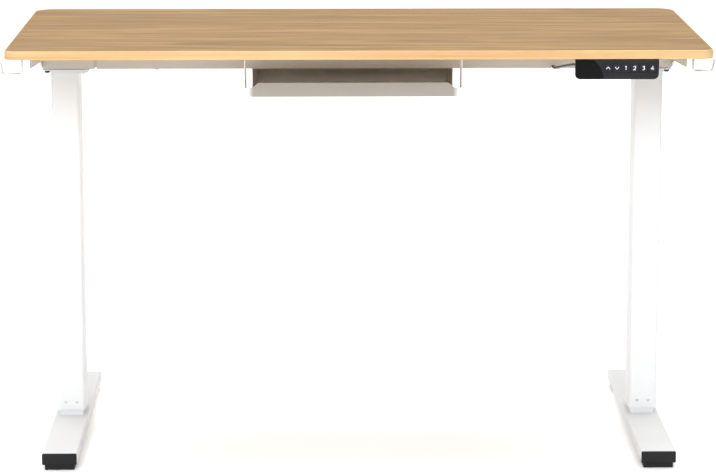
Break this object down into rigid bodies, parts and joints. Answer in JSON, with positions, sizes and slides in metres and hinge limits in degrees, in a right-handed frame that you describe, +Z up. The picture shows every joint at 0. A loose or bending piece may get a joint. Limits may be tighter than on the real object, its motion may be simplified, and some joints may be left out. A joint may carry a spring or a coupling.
{
  "type": "height adjustable standing desk",
  "caption": "Electric height adjustable desk: rounded oak-decor top on a white steel frame with telescopic legs, cable tray, side hooks and a front handset.",
  "frame": {"origin": "on the floor below the middle of the desktop, with the desk at its lowest setting", "axes": "+X to the right along the desk's width as its user sees it, +Y from the user's edge to the back, +Z up"},
  "size_m": [1.223, 0.6, 0.733],
  "materials": {
    "oak_top": "satin",
    "oak_edge": "satin",
    "white_frame": "satin",
    "black_moulding": "matte",
    "glide_plastic": "satin",
    "bright_steel": "satin",
    "zinc_fastener": "satin",
    "black_bolt": "satin",
    "gear_housing": "satin",
    "circuit_board": "satin",
    "cable_jacket": "satin",
    "handset_shell": "satin",
    "handset_glass": "gloss",
    "handset_key": "satin"
  },
  "bodies": {
    "base": {"left_foot": "white_frame", "right_foot": "white_frame", "foot_end_caps": "black_moulding", "left_inner_tube": "white_frame", "right_inner_tube": "white_frame", "leg_base_plates": "white_frame", "foot_bolts": "zinc_fastener", "upper_glides": "glide_plastic", "spindle_nuts": "glide_plastic"},
    "lift": {"desktop": "oak_top", "desktop_edge_band": "oak_edge", "crossbeam_rail": "white_frame", "left_beam_end": "white_frame", "right_beam_end": "white_frame", "left_side_bracket": "white_frame", "right_side_bracket": "white_frame", "left_column_flange": "white_frame", "right_column_flange": "white_frame", "left_outer_tube": "white_frame", "right_outer_tube": "white_frame", "lower_glides": "glide_plastic", "glide_screws": "zinc_fastener", "left_gearbox": "gear_housing", "right_gearbox": "gear_housing", "spindle_bearings": "bright_steel", "motor_housing": "gear_housing", "control_box_housing": "black_moulding", "control_board": "circuit_board", "mains_inlet": "black_moulding", "handset_cable": "cable_jacket", "motor_cable": "cable_jacket", "cable_clips": "black_moulding", "cable_tray": "white_frame", "left_hook": "white_frame", "right_hook": "white_frame", "wood_screws": "zinc_fastener", "frame_bolts": "black_bolt", "machine_screws": "zinc_fastener", "handset_housing": "handset_shell", "handset_window": "handset_glass", "handset_board": "circuit_board"},
    "left_screw": {"left_spindle": "bright_steel", "left_spindle_gear": "bright_steel"},
    "right_screw": {"right_spindle": "bright_steel", "right_spindle_gear": "bright_steel"},
    "drive_shaft": {"cross_shaft": "bright_steel", "left_shaft_gear": "bright_steel", "right_shaft_gear": "bright_steel", "motor_drive_gear": "bright_steel"},
    "rotor": {"motor_rotor": "bright_steel"},
    "left_front_pad": {"left_front_levelling_foot": "black_moulding"},
    "left_back_pad": {"left_back_levelling_foot": "black_moulding"},
    "right_front_pad": {"right_front_levelling_foot": "black_moulding"},
    "right_back_pad": {"right_back_levelling_foot": "black_moulding"},
    "key_up_cap": {"key_up": "handset_key"},
    "key_down_cap": {"key_down": "handset_key"},
    "key_1_cap": {"key_1": "handset_key"},
    "key_2_cap": {"key_2": "handset_key"},
    "key_3_cap": {"key_3": "handset_key"},
    "key_4_cap": {"key_4": "handset_key"}
  },
  "joints": [
    {"name": "height_slide", "type": "slide", "parent": "base", "child": "lift", "axis": [0, 0, 1], "range_m": [0, 0.45]},
    {"name": "left_screw_spin", "type": "hinge", "parent": "lift", "child": "left_screw", "pos_m": [-0.5205, 0, 0.66], "axis": [0, 0, 1], "continuous": true},
    {"name": "right_screw_spin", "type": "hinge", "parent": "lift", "child": "right_screw", "pos_m": [0.5205, 0, 0.66], "axis": [0, 0, 1], "continuous": true},
    {"name": "drive_shaft_spin", "type": "hinge", "parent": "lift", "child": "drive_shaft", "pos_m": [0, 0, 0.693], "axis": [1, 0, 0], "continuous": true},
    {"name": "rotor_spin", "type": "hinge", "parent": "lift", "child": "rotor", "pos_m": [0.43, 0.1, 0.693], "axis": [0, 1, 0], "continuous": true},
    {"name": "left_front_pad_screw", "type": "slide", "parent": "base", "child": "left_front_pad", "axis": [0, 0, 1], "range_m": [-0.008, 0]},
    {"name": "left_back_pad_screw", "type": "slide", "parent": "base", "child": "left_back_pad", "axis": [0, 0, 1], "range_m": [-0.008, 0]},
    {"name": "right_front_pad_screw", "type": "slide", "parent": "base", "child": "right_front_pad", "axis": [0, 0, 1], "range_m": [-0.008, 0]},
    {"name": "right_back_pad_screw", "type": "slide", "parent": "base", "child": "right_back_pad", "axis": [0, 0, 1], "range_m": [-0.008, 0]},
    {"name": "key_up_press", "type": "slide", "parent": "lift", "child": "key_up_cap", "axis": [0, 1, 0], "range_m": [0, 0.0006], "stiffness_N_per_m": 2500},
    {"name": "key_down_press", "type": "slide", "parent": "lift", "child": "key_down_cap", "axis": [0, 1, 0], "range_m": [0, 0.0006], "stiffness_N_per_m": 2500},
    {"name": "key_1_press", "type": "slide", "parent": "lift", "child": "key_1_cap", "axis": [0, 1, 0], "range_m": [0, 0.0006], "stiffness_N_per_m": 2500},
    {"name": "key_2_press", "type": "slide", "parent": "lift", "child": "key_2_cap", "axis": [0, 1, 0], "range_m": [0, 0.0006], "stiffness_N_per_m": 2500},
    {"name": "key_3_press", "type": "slide", "parent": "lift", "child": "key_3_cap", "axis": [0, 1, 0], "range_m": [0, 0.0006], "stiffness_N_per_m": 2500},
    {"name": "key_4_press", "type": "slide", "parent": "lift", "child": "key_4_cap", "axis": [0, 1, 0], "range_m": [0, 0.0006], "stiffness_N_per_m": 2500}
  ],
  "couplings": [
    {"joint": "right_screw_spin", "follows": "height_slide", "rad_per_m": 628.32},
    {"joint": "left_screw_spin", "follows": "height_slide", "rad_per_m": -628.32},
    {"joint": "drive_shaft_spin", "follows": "height_slide", "rad_per_m": -628.32},
    {"joint": "rotor_spin", "follows": "height_slide", "rad_per_m": -628.32}
  ]
}
